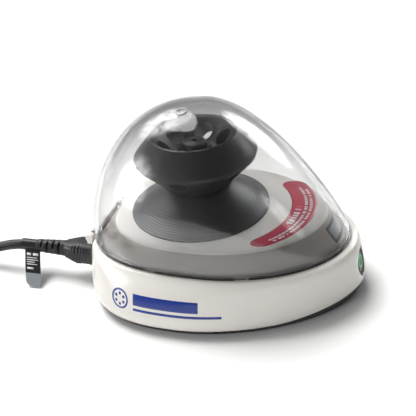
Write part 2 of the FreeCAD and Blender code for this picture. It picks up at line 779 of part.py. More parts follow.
def cord_tag():
    """Flag label: a band round the cord, and a leaf that leans out and down to the table."""
    y, z = inlet_y, inlet_z
    band = cyl(cord_r + 1.0, tag_width, (tag_x - tag_width / 2, y, z), (1, 0, 0))
    leaf = block(tag_x - tag_width / 2, tag_x + tag_width / 2, -0.25, 0.25, -tag_length, 0)
    leaf.rotate(vec(0, 0, 0), vec(1, 0, 0), -tag_lean)
    leaf.translate(vec(0, y - cord_r, z - 1.0))
    bore = cyl(cord_r + 0.75, tag_width + 4, (tag_x - tag_width / 2 - 2, y, z), (1, 0, 0))
    return band.fuse(leaf).cut(bore)


os.makedirs("parts", exist_ok=True)
save("base_shell", base_shell())
save("bottom_plate", bottom_plate())
save("rubber_feet", feet())
save("case_screws", case_screws())
save("deck", deck())
save("rim_gasket", gasket())
save("lid", lid())
save("hinge_pin", hinge_pin())
save("pedestal_cover", pedestal())
save("rotor", rotor())
save("rotor_cap", rotor_cap())
save("motor_can", motor_can())
save("motor_endcap", motor_endcap())
save("motor_magnets", motor_magnets())
save("motor_bearings", bearings())
save("motor_armature", armature())
save("motor_shaft", shaft())
save("motor_bracket", bracket())
save("bracket_screws", bracket_screws())
save("power_button", button())
save("power_symbol", button_symbol())
save("button_collar", button_collar())
save("switch_body", switch_body())
save("latch_catch", latch_catch())
save("latch_bezel", latch_bezel())
save("latch_guide", latch_guide())
save("control_board", control_board())
save("board_components", board_parts())
save("mains_inlet", inlet())
save("inlet_pins", inlet_pins())
save("cord_connector", connector())
save("strain_relief", strain_relief())
save("mains_cord", tube(route, "mains_cord"))
save("cord_coil", cord_coil())
save("cord_tail", tube([(tail_start_x, tail_y, tail_z), (tail_end_x, tail_y, tail_z)], "cord_tail"))
save("plug_relief", plug_relief())
save("mains_plug", mains_plug())
save("plug_prongs", plug_prongs())
save("cord_tag", cord_tag())
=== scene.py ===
import json
import math
import bmesh
import bpy
import numpy as np
from mathutils import Matrix, Vector

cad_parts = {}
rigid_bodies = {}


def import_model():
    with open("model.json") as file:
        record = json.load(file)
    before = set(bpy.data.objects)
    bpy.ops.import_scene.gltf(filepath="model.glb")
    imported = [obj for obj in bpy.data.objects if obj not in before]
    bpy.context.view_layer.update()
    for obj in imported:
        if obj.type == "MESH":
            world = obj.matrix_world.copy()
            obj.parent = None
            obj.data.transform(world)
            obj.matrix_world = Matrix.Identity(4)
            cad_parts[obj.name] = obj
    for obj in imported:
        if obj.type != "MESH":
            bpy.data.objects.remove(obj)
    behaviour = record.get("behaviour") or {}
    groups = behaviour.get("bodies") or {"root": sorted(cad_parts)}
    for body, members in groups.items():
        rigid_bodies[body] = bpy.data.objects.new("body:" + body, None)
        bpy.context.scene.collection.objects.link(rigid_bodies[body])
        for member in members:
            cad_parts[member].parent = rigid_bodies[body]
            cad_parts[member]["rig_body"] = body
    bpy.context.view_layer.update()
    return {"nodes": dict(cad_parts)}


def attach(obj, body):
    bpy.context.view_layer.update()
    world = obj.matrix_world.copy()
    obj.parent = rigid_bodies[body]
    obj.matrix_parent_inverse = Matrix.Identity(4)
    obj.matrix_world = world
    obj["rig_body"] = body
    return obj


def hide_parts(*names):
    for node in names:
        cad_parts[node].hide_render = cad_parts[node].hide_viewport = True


# Bench mini centrifuge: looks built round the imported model. Lengths in the dictionaries are millimetres.
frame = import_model()
nodes = frame["nodes"]
scene = bpy.context.scene
scene.view_settings.view_transform = "Standard"
mm = 0.001
print("frame loaded,", len(nodes), "nodes")

# angles in degrees; distance and target place the eye, lens and sensor set the field
view = {"azimuth": 20.5, "elevation": 30.7, "roll": -6.1, "distance": 465.2, "target": (-10.2, 0.0, 44.1),
        "lens": 72.4, "sensor": 36.0}


def placeCamera(s):
    # eye = target + distance * back, then the frame is turned about the line of sight by the roll
    az, el, roll = (math.radians(s[k]) for k in ("azimuth", "elevation", "roll"))
    back = Vector((math.sin(az) * math.cos(el), -math.cos(az) * math.cos(el), math.sin(el)))
    right = Vector((math.cos(az), math.sin(az), 0.0))
    up = back.cross(right)
    across = right * math.cos(roll) + up * math.sin(roll)
    upright = up * math.cos(roll) - right * math.sin(roll)
    lens = bpy.data.cameras.new("camera")
    lens.lens, lens.sensor_width = s["lens"], s["sensor"]
    lens.clip_start, lens.clip_end = 0.01, 20.0
    camera = bpy.data.objects.new("camera", lens)
    turn = Matrix((across, upright, back)).transposed().to_4x4()
    camera.matrix_world = Matrix.Translation((Vector(s["target"]) + back * s["distance"]) * mm) @ turn
    scene.collection.objects.link(camera)
    scene.camera = camera


placeCamera(view)
print("camera placed")


def srgb(text):
    # sRGB hex to the linear colour that shaders take
    part = np.array([int(text[i:i + 2], 16) / 255 for i in (0, 2, 4)])
    linear = np.where(part <= 0.04045, part / 12.92, ((part + 0.055) / 1.055) ** 2.4)
    return (*linear.tolist(), 1.0)


def addNode(tree, kind, settings=None, values=None, links=None):
    # one shader node with its settings, its fixed inputs and its links, in that order
    node = tree.nodes.new(kind)
    for key, value in (settings or {}).items():
        setattr(node, key, value)
    for key, value in (values or {}).items():
        node.inputs[key].default_value = value
    for key, source in (links or {}).items():
        tree.links.new(source, node.inputs[key])
    return node


def newMaterial(name, colour, roughness, **sockets):
    # plain shader with further sockets given by name; place is the point in metres that patterns use
    material = bpy.data.materials.new(name)
    material.use_nodes = True
    tree = material.node_tree
    shader = tree.nodes["Principled BSDF"]
    shader.inputs["Base Color"].default_value = srgb(colour)
    shader.inputs["Roughness"].default_value = roughness
    for key, value in sockets.items():
        shader.inputs[key.replace("_", " ")].default_value = value
    place = addNode(tree, "ShaderNodeTexCoord").outputs["Object"]
    return material, tree, shader, place


def moulded(name, colour, roughness, grain=0.5, depth=0.012, patch=14.0, wear=0.06, shade=0.05, **sockets):
    # plain plastic or rubber: fine skin grain as bump, and slow patches that change gloss and colour a little
    material, tree, shader, place = newMaterial(name, colour, roughness, **sockets)
    fine = addNode(tree, "ShaderNodeTexNoise", None, {"Scale": 1 / (grain * mm), "Detail": 3.0},
                   {"Vector": place})
    slow = addNode(tree, "ShaderNodeTexNoise", None, {"Scale": 1 / (patch * mm), "Detail": 4.0},
                   {"Vector": place})
    bump = addNode(tree, "ShaderNodeBump", None, {"Distance": depth * mm, "Strength": 1.0},
                   {"Height": fine.outputs["Fac"]})
    tree.links.new(bump.outputs["Normal"], shader.inputs["Normal"])
    gloss = addNode(tree, "ShaderNodeMapRange", None,
                    {"To Min": roughness - wear, "To Max": roughness + wear}, {"Value": slow.outputs["Fac"]})
    tree.links.new(gloss.outputs["Result"], shader.inputs["Roughness"])
    base = np.array(srgb(colour))
    dark = (*(base[:3] * (1 - shade)).tolist(), 1.0)
    tint = addNode(tree, "ShaderNodeMix", {"data_type": "RGBA"}, {"A": tuple(base), "B": dark},
                   {"Factor": slow.outputs["Fac"]})
    tree.links.new(tint.outputs["Result"], shader.inputs["Base Color"])
    return material


def turnedFinish(name, colour, roughness, centre, pitch, depth, patch=9.0, **sockets):
    # concentric tool rings: a sine of the distance from the turning axis, with a little uneven gloss
    material, tree, shader, place = newMaterial(name, colour, roughness, **sockets)
    moved = addNode(tree, "ShaderNodeMapping", None,
                    {"Location": (-centre * mm, 0.0, 0.0), "Scale": (1.0, 1.0, 0.0)}, {"Vector": place})
    reach = addNode(tree, "ShaderNodeVectorMath", {"operation": "LENGTH"}, None,
                    {0: moved.outputs["Vector"]})
    wave = addNode(tree, "ShaderNodeMath", {"operation": "MULTIPLY"}, {1: 2 * math.pi / (pitch * mm)},
                   {0: reach.outputs["Value"]})
    rings = addNode(tree, "ShaderNodeMath", {"operation": "SINE"}, None, {0: wave.outputs[0]})
    bump = addNode(tree, "ShaderNodeBump", None, {"Distance": depth * mm, "Strength": 1.0},
                   {"Height": rings.outputs[0]})
    tree.links.new(bump.outputs["Normal"], shader.inputs["Normal"])
    slow = addNode(tree, "ShaderNodeTexNoise", None, {"Scale": 1 / (patch * mm), "Detail": 5.0},
                   {"Vector": place})
    gloss = addNode(tree, "ShaderNodeMapRange", None,
                    {"To Min": roughness - 0.06, "To Max": roughness + 0.08}, {"Value": slow.outputs["Fac"]})
    tree.links.new(gloss.outputs["Result"], shader.inputs["Roughness"])
    return material


rotorX = -14.0
# Glossy injection-moulded ABS, warm white: reads as paint-smooth with soft reflections.
whiteAbs = moulded("whiteAbs", "E4E0DA", 0.2, grain=0.9, depth=0.004, wear=0.04, shade=0.03,
                   Coat_Weight=0.25, Coat_Roughness=0.08, IOR=1.53)
# The same ABS with a finer satin texture on the deck, where hands don't polish it.
deckAbs = moulded("deckAbs", "F3F0EA", 0.34, grain=0.6, depth=0.01, shade=0.04, IOR=1.53)


def paintFlankShade(material, below, edge, blend=0.3):
    # painted shade: the deck's flank is coloured a darker warm grey than its top, standing in for the shade
    # it lies in: a step on the height of the point
    tree = material.node_tree
    shader = tree.nodes["Principled BSDF"]
    top = shader.inputs["Base Color"].links[0].from_socket
    place = addNode(tree, "ShaderNodeTexCoord").outputs["Object"]
    split = addNode(tree, "ShaderNodeSeparateXYZ", None, None, {"Vector": place})
    step = addNode(tree, "ShaderNodeMapRange", None,
                   {"From Min": (edge - blend) * mm, "From Max": (edge + blend) * mm},
                   {"Value": split.outputs["Z"]})
    # mix in the painted shade below the edge height
    tone = addNode(tree, "ShaderNodeMix", {"data_type": "RGBA"}, {"A": srgb(below)},
                   {"Factor": step.outputs["Result"], "B": top})
    tree.links.new(tone.outputs["Result"], shader.inputs["Base Color"])


# painted shade on the deck's flank, below 45 mm
paintFlankShade(deckAbs, "A8A19B", 45.0)
# Black ABS with a spark-eroded mould texture.
blackAbs = moulded("blackAbs", "0D0D0D", 0.42, grain=0.7, depth=0.02, shade=0.2, IOR=1.53)
# Black ABS button from a polished tool, dulled by its coated face.
buttonAbs = moulded("buttonAbs", "060707", 0.3, grain=1.5, depth=0.003, wear=0.03, shade=0.1,
                    Specular_IOR_Level=0.15)
# Soft EPDM rubber: dull, a little grey where dust sits.
gasketRubber = moulded("gasketRubber", "1B1B1B", 0.62, grain=0.4, depth=0.02, shade=0.25, IOR=1.5)
# Anodised grey rotor and glass-filled nylon pedestal: satin with turning rings.
rotorFinish = turnedFinish("anodisedRotor", "3E3F40", 0.36, rotorX, 1.1, 0.010, IOR=1.5, Coat_Weight=0.15,
                           Coat_Roughness=0.25)
pedestalFinish = turnedFinish("nylonPedestal", "38393A", 0.4, rotorX, 1.5, 0.014, IOR=1.52)
# Light grey acetal catch.
catchAcetal = moulded("catchAcetal", "A9ABAC", 0.32, grain=0.5, depth=0.01)
# Zinc-plated and stainless steel, nickel-plated brass contacts, sintered bronze bushes.
screwSteel = moulded("screwSteel", "9A9C9F", 0.3, grain=0.3, depth=0.006, Metallic=1.0)
pinSteel = moulded("pinSteel", "B4B6B8", 0.2, grain=0.25, depth=0.004, Metallic=1.0)
nickelPlate = moulded("nickelPlate", "C9C4B8", 0.18, grain=0.3, depth=0.003, Metallic=1.0)
bronzeBush = moulded("bronzeBush", "9C6B3A", 0.4, grain=0.2, depth=0.02, Metallic=1.0)
# Inside: sintered ferrite magnets, laminated armature iron, nylon end cap, glass-epoxy board and its parts.
ferriteBlock = moulded("ferriteBlock", "2A2B2E", 0.6, grain=0.3, depth=0.03)
laminatedIron = moulded("laminatedIron", "5A5148", 0.5, grain=0.3, depth=0.02, Metallic=0.6)
nylonCap = moulded("nylonCap", "26282B", 0.45)
boardGlass = moulded("boardGlass", "1F5A3A", 0.3, grain=0.8, depth=0.01)
partsEpoxy = moulded("partsEpoxy", "1A1B1D", 0.42)
# Flexible black PVC: slightly waxy, with a faint extruded texture.
leadPvc = moulded("leadPvc", "0B0B0C", 0.42, grain=1.2, depth=0.03, patch=20.0, wear=0.08, shade=0.25,
                  IOR=1.53)
# Printed polyester film for the flag tag.
tagFilm = moulded("tagFilm", "17181A", 0.28, grain=2.0, depth=0.01, IOR=1.5)
tagGrey = moulded("tagGrey", "83878A", 0.3, grain=2.0, depth=0.01, IOR=1.5)
# Vinyl label and the printed inks.
labelVinyl = moulded("labelVinyl", "D0254C", 0.3, grain=1.5, depth=0.006, shade=0.06)
labelInk = moulded("labelInk", "FBF3F4", 0.4, grain=1.5, depth=0.002)
badgeInk = moulded("badgeInk", "0F3188", 0.22, grain=1.5, depth=0.002, Coat_Weight=0.2)
tagInk = moulded("tagInk", "D5D8DA", 0.35, grain=1.5, depth=0.002)


clear = {"flowSize": 26.0, "flowDepth": 0.35, "facing": "FCFCFC", "edge": "2C2D2E",
         "between": ((0.5, "F4F4F4"), (0.72, "CDCECE"), (0.88, "7C7E7F")),
         "peakDarkeningFrom": 66.0, "peakDarkeningTo": 104.0, "peakDarkening": 0.6}


def clearPlastic(s):
    # injection-moulded polycarbonate: clear face on, its colour painted grey along its edges as painted shade
    # and darker towards the peak, with flow marks
    material, tree, shader, place = newMaterial("clearPolycarbonate", "EEF0F0", 0.015, IOR=1.5,
                                                Transmission_Weight=1.0)
    stretched = addNode(tree, "ShaderNodeMapping", None,
                        {"Scale": (1.0, 1.0, 0.25), "Rotation": (0.5, 0.3, 0.0)}, {"Vector": place})
    flow = addNode(tree, "ShaderNodeTexNoise", None,
                   {"Scale": 1 / (s["flowSize"] * mm), "Detail": 2.0, "Distortion": 0.6},
                   {"Vector": stretched.outputs["Vector"]})
    bump = addNode(tree, "ShaderNodeBump", None, {"Distance": s["flowDepth"] * mm, "Strength": 0.5},
                   {"Height": flow.outputs["Fac"]})
    tree.links.new(bump.outputs["Normal"], shader.inputs["Normal"])
    # painted shade: the colour goes from near white face on to dark grey where the surface turns edge on
    paintedEdgeShade = addNode(tree, "ShaderNodeLayerWeight", None, {"Blend": 0.5})
    ramp = addNode(tree, "ShaderNodeValToRGB", None, None, {"Fac": paintedEdgeShade.outputs["Facing"]})
    stops = ramp.color_ramp.elements
    stops[0].position, stops[0].color = 0.0, srgb(s["facing"])
    stops[1].position, stops[1].color = 1.0, srgb(s["edge"])
    for at, tone in s["between"]:
        stops.new(at).color = srgb(tone)
    # the colour is darker towards the peak
    height = addNode(tree, "ShaderNodeSeparateXYZ", None, None, {"Vector": place})
    peakDarkening = addNode(tree, "ShaderNodeMapRange", {"interpolation_type": "SMOOTHSTEP"},
                    {"From Min": s["peakDarkeningFrom"] * mm, "From Max": s["peakDarkeningTo"] * mm, "To Min": 1.0,
                     "To Max": s["peakDarkening"]},
                    {"Value": height.outputs["Z"]})
    shadedColour = addNode(tree, "ShaderNodeVectorMath", {"operation": "SCALE"}, None,
                     {0: ramp.outputs["Color"], "Scale": peakDarkening.outputs["Result"]})
    tree.links.new(shadedColour.outputs["Vector"], shader.inputs["Base Color"])
    return material


clearLid = clearPlastic(clear)


def glowingSymbol():
    # green light pipe behind clear ink
    material, tree, shader, place = newMaterial("glowingGreen", "0B6A35", 0.4, Emission_Strength=0.55)
    core = addNode(tree, "ShaderNodeTexNoise", None, {"Scale": 1 / (2.5 * mm)}, {"Vector": place})
    tint = addNode(tree, "ShaderNodeMix", {"data_type": "RGBA"}, {"A": srgb("0FB45A"), "B": srgb("5BE08F")},
                   {"Factor": core.outputs["Fac"]})
    tree.links.new(tint.outputs["Result"], shader.inputs["Emission Color"])
    return material


symbolGlow = glowingSymbol()
print("materials made")


def finishMesh(mesh, smoothAngle):
    # smooth everywhere but over edges that turn by more than the angle
    mesh.polygons.foreach_set("use_smooth", np.ones(len(mesh.polygons), dtype=bool))
    mesh.set_sharp_from_angle(angle=math.radians(smoothAngle))


def linkPiece(name, mesh, material, body, replaced=()):
    # one shown piece: its finish, the body it rides on, its slot and the nodes it stands for
    piece = bpy.data.objects.new(name, mesh)
    scene.collection.objects.link(piece)
    mesh.materials.clear()
    mesh.materials.append(material)
    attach(piece, body)
    if replaced:
        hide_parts(*replaced)
    return piece


def gridMesh(name, points, closeRound=True, closeUp=False, smoothAngle=40):
    # rows x columns x 3 points in millimetres; each cell is one face, and rows that shrink to a point merge
    rows, columns = points.shape[:2]
    up = np.arange(rows if closeUp else rows - 1)
    around = np.arange(columns if closeRound else columns - 1)
    r, c = np.meshgrid(up, around, indexing="ij")
    rNext, cNext = (r + 1) % rows, (c + 1) % columns
    faces = np.stack([r * columns + c, r * columns + cNext, rNext * columns + cNext, rNext * columns + c],
                     -1)
    mesh = bpy.data.meshes.new(name)
    mesh.from_pydata((points.reshape(-1, 3) * mm).tolist(), [], faces.reshape(-1, 4).tolist())
    build = bmesh.new()
    build.from_mesh(mesh)
    bmesh.ops.remove_doubles(build, verts=build.verts, dist=1e-6)
    build.to_mesh(mesh)
    build.free()
    finishMesh(mesh, smoothAngle)
    return mesh


def joinMeshes(name, meshes, smoothAngle=40):
    # several meshes as one, left unmerged so that each stays closed
    build = bmesh.new()
    for mesh in meshes:
        build.from_mesh(mesh)
    joined = bpy.data.meshes.new(name)
    build.to_mesh(joined)
    build.free()
    finishMesh(joined, smoothAngle)
    return joined


def asFilm(piece, thickness):
    # a printed or cut film has a real, if tiny, thickness below its face
    piece.modifiers.new("film", "SOLIDIFY").thickness = thickness * mm
    return piece


def roundedProfile(corners, radius=0.5, steps=4):
    # corner points joined by straight runs; each corner becomes a short parabola within radius of it
    corners = np.array(corners, float)
    before, here, after = corners[:-2], corners[1:-1], corners[2:]
    into, out = before - here, after - here
    lengthIn, lengthOut = np.linalg.norm(into, axis=1), np.linalg.norm(out, axis=1)
    cut = np.minimum(radius, 0.45 * np.minimum(lengthIn, lengthOut))[:, None]
    start, end = here + into / lengthIn[:, None] * cut, here + out / lengthOut[:, None] * cut
    t = np.linspace(0, 1, steps + 1)[None, :, None]
    arcs = (1 - t) ** 2 * start[:, None] + 2 * t * (1 - t) * here[:, None] + t ** 2 * end[:, None]
    return np.concatenate([corners[:1], arcs.reshape(-1, 2), corners[-1:]])


def turnedPoints(profile, centreX, segments=144):
    # a (radius, height) profile turned about an upright axis; it runs from low and outside to high and inside
    angle = np.linspace(0, 2 * np.pi, segments, endpoint=False)[None, :]
    r, z = profile[:, :1], profile[:, 1:]
    return np.stack([centreX + r * np.cos(angle), r * np.sin(angle), z + 0 * angle], -1)


def outlinePoints(outline, z, angle, inset=0.0):
    # superellipse with its own reach and exponent behind and in front:
    # radius = (|cos/reach|^p + |sin/half|^p)^(-1/p)
    wideX, rear, front, half, rearPower, frontPower = outline
    c, s = np.cos(angle), np.sin(angle)
    reach = np.where(c >= 0, front - wideX - inset, wideX - rear - inset)
    power = np.where(c >= 0, frontPower, rearPower)
    radius = (np.abs(c / reach) ** power + np.abs(s / (half - inset)) ** power) ** (-1 / power)
    return np.stack(np.broadcast_arrays(wideX + radius * c, radius * s, z), -1)


def mergedCopy(name, node, material, bevel=0.0, smoothAngle=35):
    # a CAD node's mesh with its loose triangles merged, softly shaded and, where asked, hard edges bevelled
    source = nodes[node]
    mesh = source.data.copy()
    build = bmesh.new()
    build.from_mesh(mesh)
    bmesh.ops.remove_doubles(build, verts=build.verts, dist=2e-6)
    if bevel:
        bmesh.ops.dissolve_limit(build, angle_limit=math.radians(0.5), verts=build.verts, edges=build.edges)
    build.to_mesh(mesh)
    build.free()
    finishMesh(mesh, smoothAngle)
    piece = linkPiece(name, mesh, material, source["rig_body"], [node])
    if bevel:
        edge = piece.modifiers.new("softEdges", "BEVEL")
        edge.width, edge.segments, edge.limit_method = bevel * mm, 2, "ANGLE"
        edge.angle_limit, edge.harden_normals = math.radians(38), True
    return piece


lead = {"radius": 3.0, "coilCentre": (-205.0, -59.2), "coilMiddle": 34.0, "across": 4, "pointsPerTurn": 16,
        "turns": 7.5, "tailEnd": (-176.0, -102.2, 9.0), "length": 1.72,
        "route": [(-115.0, -14.0, 17.0), (-127.0, -14.0, 17.0), (-140.0, -14.3, 14.0), (-154.0, -14.8, 9.0),
                  (-168.0, -15.4, 5.2), (-180.0, -15.9, 3.5), (-192.0, -16.15, 3.05), (-203.0, -16.2, 3.0)]}


def coilPoints(s):
    # turns wound inwards on the table, then outwards on top of them; radius and height follow the turn count
    count = int(s["turns"] * s["pointsPerTurn"])
    turn = np.arange(1, count) / s["pointsPerTurn"]
    angle = np.pi / 2 + 2 * np.pi * turn
    pitch = 2 * s["radius"]
    outer = s["coilMiddle"] + pitch * (s["across"] - 1) / 2
    lower = np.minimum(np.maximum(turn - 0.25, 0), s["across"] - 1)
    upper = np.clip(turn - s["across"], 0, s["across"] - 1)
    radius = outer - pitch * lower + pitch * upper
    height = s["radius"] + pitch * np.clip((turn - s["across"] + 0.35) / 0.5, 0, 1)
    x, y = s["coilCentre"]
    return np.stack([x + radius * np.cos(angle), y + radius * np.sin(angle), height], -1)


def makeLead(s):
    # one smooth curve through the route, the coil and a straight tail into the plug
    endX, endY, endZ = s["tailEnd"]
    tail = [(endX - 20.0, endY, endZ), (endX - 10.0, endY, endZ), s["tailEnd"]]
    points = s["route"] + coilPoints(s).tolist() + tail
    curve = bpy.data.curves.new("mainsLead", "CURVE")
    curve.dimensions, curve.bevel_depth, curve.bevel_resolution = "3D", s["radius"] * mm, 5
    curve.resolution_u, curve.use_fill_caps = 8, True
    spline = curve.splines.new("NURBS")
    spline.points.add(len(points) - 1)
    spline.points.foreach_set("co", np.c_[np.array(points) * mm, np.ones(len(points))].ravel())
    spline.order_u, spline.use_endpoint_u = 3, True
    piece = bpy.data.objects.new("mainsLead", curve)
    scene.collection.objects.link(piece)
    curve.materials.append(leadPvc)
    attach(piece, "root")
    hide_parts("mains_cord", "cord_coil", "cord_tail")
    return piece


mainsLead = makeLead(lead)


def lyingSection(centreY, centreZ, halfY, above, below, power, angle):
    # superellipse across the X axis, with its own height above and below the centre
    c, s = np.cos(angle), np.sin(angle)
    halfZ = np.where(s >= 0, above, below)
    radius = (np.abs(c / halfY) ** power + np.abs(s / halfZ) ** power) ** (-1 / power)
    return centreY + radius * c, centreZ + radius * s


def carriedAlongX(name, x, halfY, above, below, centreY, centreZ, power=3.2, count=72, dent=None):
    # sections carried from low x to high x and closed at both ends; dent(x, angle) is taken off the radius
    angle = np.linspace(0, 2 * np.pi, count, endpoint=False)[None, :]
    column = [np.asarray(v, float)[:, None] for v in (x, halfY, above, below)]
    y, z = lyingSection(centreY, centreZ, *column[1:], power, angle)
    if dent is not None:
        share = 1 - dent(column[0], angle) / np.hypot(y - centreY, z - centreZ)
        y, z = centreY + (y - centreY) * share, centreZ + (z - centreZ) * share
    body = np.stack([column[0] + 0 * angle, y, z], -1)
    middle = np.array([0, centreY, centreZ])
    ends = [np.stack([body[i] * share + (1 - share) * (middle + [body[i, 0, 0], 0, 0]) for share in shares])
            for i, shares in ((0, (0.0, 0.6, 0.96)), (-1, (0.96, 0.6, 0.0)))]
    return gridMesh(name, np.concatenate([ends[0], body, ends[1]]))


def smoothSteps(at, values, x, spread):
    # values between stations, averaged over a short window so that the form has no creases
    offsets = np.linspace(-spread, spread, 9)[:, None]
    return np.mean(np.interp(x[None, :] + offsets, at, values), 0)


connector = {"face": -75.5, "length": 20.0, "y": -14.0, "z": 17.0,
             "at": (0.0, 4.0, 8.0, 12.0, 16.0, 20.0), "halfY": (8.6, 8.2, 8.2, 8.0, 6.4, 4.8),
             "above": (6.6, 6.6, 6.6, 6.4, 5.6, 4.8), "below": (7.6, 6.4, 6.4, 7.2, 6.0, 4.8),
             "ribPitch": 2.2, "ribDepth": 0.45, "grip": (6.5, 15.5)}


def makeConnector(s):
    # sections from the tail to the face, with sizes interpolated by the distance behind the face
    x = np.linspace(s["face"] - s["length"], s["face"], 90)
    back = s["face"] - x

    def ribs(at, angle):
        # finger ribs on both flanks of the grip, fading out above and below
        depth = s["face"] - at
        inGrip = np.clip(depth - s["grip"][0], 0, 1) * np.clip(s["grip"][1] - depth, 0, 1)
        side = np.clip((np.abs(np.cos(angle)) - 0.55) / 0.2, 0, 1)
        return s["ribDepth"] * inGrip * side * (0.5 + 0.5 * np.cos(2 * np.pi * depth / s["ribPitch"]))

    sizes = [smoothSteps(s["at"], s[k], back, 1.2) for k in ("halfY", "above", "below")]
    mesh = carriedAlongX("cordConnector", x, *sizes, s["y"], s["z"], dent=ribs)
    return linkPiece("cordConnector", mesh, leadPvc, "root", ["cord_connector"])


relief = {"length": 19.5, "root": 4.8, "tip": 3.8, "grooves": 4, "depth": 1.0, "tipRound": 0.8,
          "groovePlateau": 1.6, "grooveWall": 0.45}


def makeRelief(name, rootX, y, z, node, s):
    # tapered sleeve whose grooves are cut in pairs, with a bridge between them that swaps sides at each ring
    x = np.linspace(0, s["length"], 120)
    taper = s["root"] + (s["tip"] - s["root"]) * x / s["length"]
    size = taper - 0.5 * np.clip((x - s["length"] + s["tipRound"]) / s["tipRound"], 0, 1) ** 2
    pitch = s["length"] / (s["grooves"] + 1)

    def grooves(at, angle):
        along = np.abs(at - rootX)
        ring = np.clip(np.round(along / pitch), 1, s["grooves"])
        cut = np.clip(s["groovePlateau"] - np.abs(along - ring * pitch) / s["grooveWall"], 0, 1)
        bridge = np.clip((np.abs(np.sin(angle + ring * np.pi / 2)) - 0.25) / 0.12, 0, 1)
        return s["depth"] * cut * bridge

    size = size[::-1]
    mesh = carriedAlongX(name, (rootX - x)[::-1], size, size, size, y, z, 2.0, 64, grooves)
    return linkPiece(name, mesh, leadPvc, "root", [node])


plug = {"root": -156.5, "y": -102.2, "z": 9.0, "at": (0.0, 5.0, 10.0, 18.0, 26.0),
        "halfY": (5.2, 8.6, 10.4, 11.4, 11.8), "half": (5.2, 7.6, 8.4, 8.7, 8.7), "ribPitch": 3.0,
        "ribDepth": 0.6, "grip": (6.0, 18.0)}


def makePlug(s):
    # sections from the cable end to the face, with sizes interpolated by the distance from the root
    x = np.linspace(0, s["at"][-1], 90)

    def ribs(at, angle):
        # three finger hollows on each flank
        along = at - s["root"]
        inGrip = np.clip((along - s["grip"][0]) / 1.5, 0, 1) * np.clip((s["grip"][1] - along) / 1.5, 0, 1)
        side = np.clip((np.abs(np.cos(angle)) - 0.5) / 0.25, 0, 1)
        return s["ribDepth"] * inGrip * side * (0.5 + 0.5 * np.cos(2 * np.pi * along / s["ribPitch"]))

    halfY = smoothSteps(s["at"], s["halfY"], x, 1.5)
    half = smoothSteps(s["at"], s["half"], x, 1.5)
    mesh = carriedAlongX("mainsPlug", s["root"] + x, halfY, half, half, s["y"], s["z"], 3.0, 72, ribs)
    return linkPiece("mainsPlug", mesh, leadPvc, "root", ["mains_plug"])


# each bar of the tag: its place down the leaf, its two ends across it and its width
tag = {"x": -120.1, "leafX": -117.4, "skew": 0.28, "width": 10.0, "leaf": 22.0, "lean": 48.0, "y": -14.0,
       "z": 17.0, "thickness": 0.3, "greyShare": 0.66, "corner": 3.2, "band": (3.08, 3.45),
       "hang": (3.0, 1.0), "curl": 0.5,
       "bars": ((2.6, -3.8, -1.0, 1.5), (2.6, 0.2, 3.8, 1.5), (5.2, -3.8, 3.2, 0.5), (6.5, -3.8, 3.8, 0.5),
                (7.8, -3.8, 1.6, 0.5), (9.1, -3.8, 3.0, 0.5), (11.2, -3.8, 0.4, 1.1))}


def tagPath(s, start, end, count, offset):
    # flat film: down from the band at a lean, with rounded lower corners and a slight curl along its length
    along = np.linspace(start, end, count) * s["leaf"]
    lean = math.radians(s["lean"])
    down = np.array([-math.sin(lean), -math.cos(lean)])
    normal = np.array([-math.cos(lean), math.sin(lean)])
    curl = s["curl"] * np.sin(np.pi * along / s["leaf"])
    top = np.array([s["y"] - s["hang"][0], s["z"] - s["hang"][1]])
    yz = top + along[:, None] * down + (curl + offset)[:, None] * normal
    corner = s["corner"]
    left = np.clip(s["leaf"] - along, 0, corner)
    inset = corner - np.sqrt(np.maximum(corner ** 2 - (corner - left) ** 2, 0))
    return along, yz, s["width"] / 2 - inset


def tagLeaf(name, s, start, end, rows=28):
    # front and back face of one stretch of the leaf, joined round their edges
    along, face, half = tagPath(s, start, end, rows, s["thickness"] / 2)
    _, rear, _ = tagPath(s, start, end, rows, -s["thickness"] / 2)
    x = s["leafX"] + s["skew"] * along[:, None] + half[:, None] * np.linspace(-1, 1, 9)
    front = np.stack(np.broadcast_arrays(x, face[:, :1], face[:, 1:]), -1)
    back = np.stack(np.broadcast_arrays(x, rear[:, :1], rear[:, 1:]), -1)[:, ::-1]
    rim = np.concatenate([front, back], 1)
    closed = np.concatenate([rim[:1].mean(1, keepdims=True) + 0 * rim[:1], rim,
                             rim[-1:].mean(1, keepdims=True) + 0 * rim[-1:]])
    return gridMesh(name, closed[::-1])


def makeTag(s):
    # a thin sleeve round the lead and the leaf that hangs from it
    angle = np.linspace(0, 2 * np.pi, 48, endpoint=False)[None, :]
    x = np.array([-1, -1, 1, 1, -1])[:, None] * s["width"] / 2 + s["x"]
    inner, outer = s["band"]
    r = np.array([inner, outer, outer, inner, inner])[:, None]
    sleeve = np.stack([x + 0 * angle, s["y"] + r * np.cos(angle), s["z"] + r * np.sin(angle)], -1)
    band = gridMesh("tagBand", sleeve)
    upper = joinMeshes("tagFlag", [band, tagLeaf("tagUpper", s, 0.0, s["greyShare"])])
    piece = linkPiece("tagFlag", upper, tagFilm, "root", ["cord_tag"])
    lower = linkPiece("tagFoot", tagLeaf("tagFoot", s, s["greyShare"], 1.0), tagGrey, "root")
    return piece, lower


